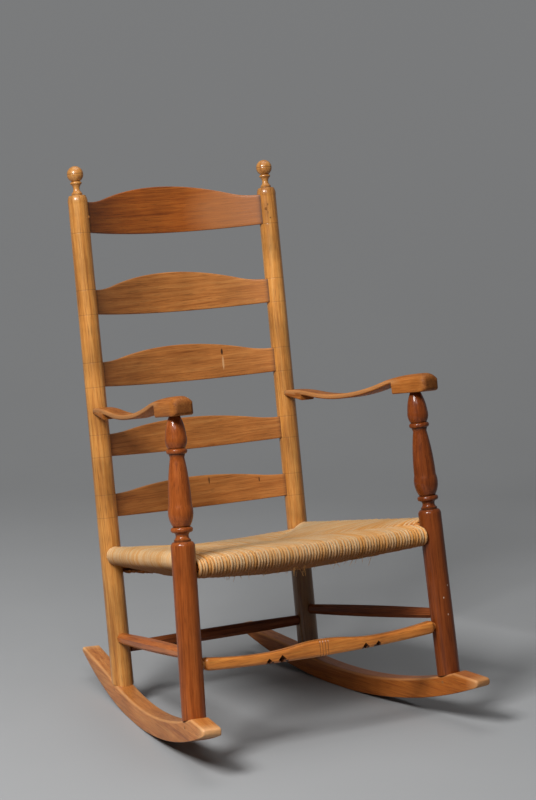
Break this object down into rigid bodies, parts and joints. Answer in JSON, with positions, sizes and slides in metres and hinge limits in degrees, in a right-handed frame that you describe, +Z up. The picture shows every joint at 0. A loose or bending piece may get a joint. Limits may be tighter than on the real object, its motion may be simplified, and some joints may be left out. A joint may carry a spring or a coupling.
{
  "type": "ladder back rocking chair",
  "caption": "Ladder back wooden armchair on curved rockers, with ball finials, bowed slats, turned front posts, shaped arms and a woven rush seat.",
  "frame": {"origin": "centre of the bounding box's base, on the floor between the rockers", "axes": "+Z up, -Y the way the sitter faces, +X to the right of a viewer in front of the chair"},
  "size_m": [0.6662, 0.79, 1.1144],
  "materials": {
    "back_post_wood": "satin",
    "front_post_wood": "satin",
    "top_slat_wood": "satin",
    "slat_wood": "satin",
    "arm_wood": "satin",
    "rail_wood": "satin",
    "stretcher_wood": "satin",
    "front_stretcher_wood": "satin",
    "rocker_wood": "satin",
    "peg_wood": "satin",
    "rush": "matte"
  },
  "bodies": {
    "root": {"left_back_post": "back_post_wood", "right_back_post": "back_post_wood", "left_front_post": "front_post_wood", "right_front_post": "front_post_wood", "top_slat": "top_slat_wood", "second_slat": "slat_wood", "third_slat": "slat_wood", "fourth_slat": "slat_wood", "fifth_slat": "slat_wood", "left_arm": "arm_wood", "right_arm": "arm_wood", "front_seat_rail": "rail_wood", "back_seat_rail": "rail_wood", "left_seat_rail": "rail_wood", "right_seat_rail": "rail_wood", "back_stretcher": "stretcher_wood", "left_stretcher": "stretcher_wood", "right_stretcher": "stretcher_wood", "front_stretcher": "front_stretcher_wood", "left_rocker": "rocker_wood", "right_rocker": "rocker_wood", "slat_pegs": "peg_wood", "rail_pegs": "peg_wood", "arm_pegs": "peg_wood", "rocker_pegs": "peg_wood", "rush_seat": "rush"}
  },
  "joints": []
}
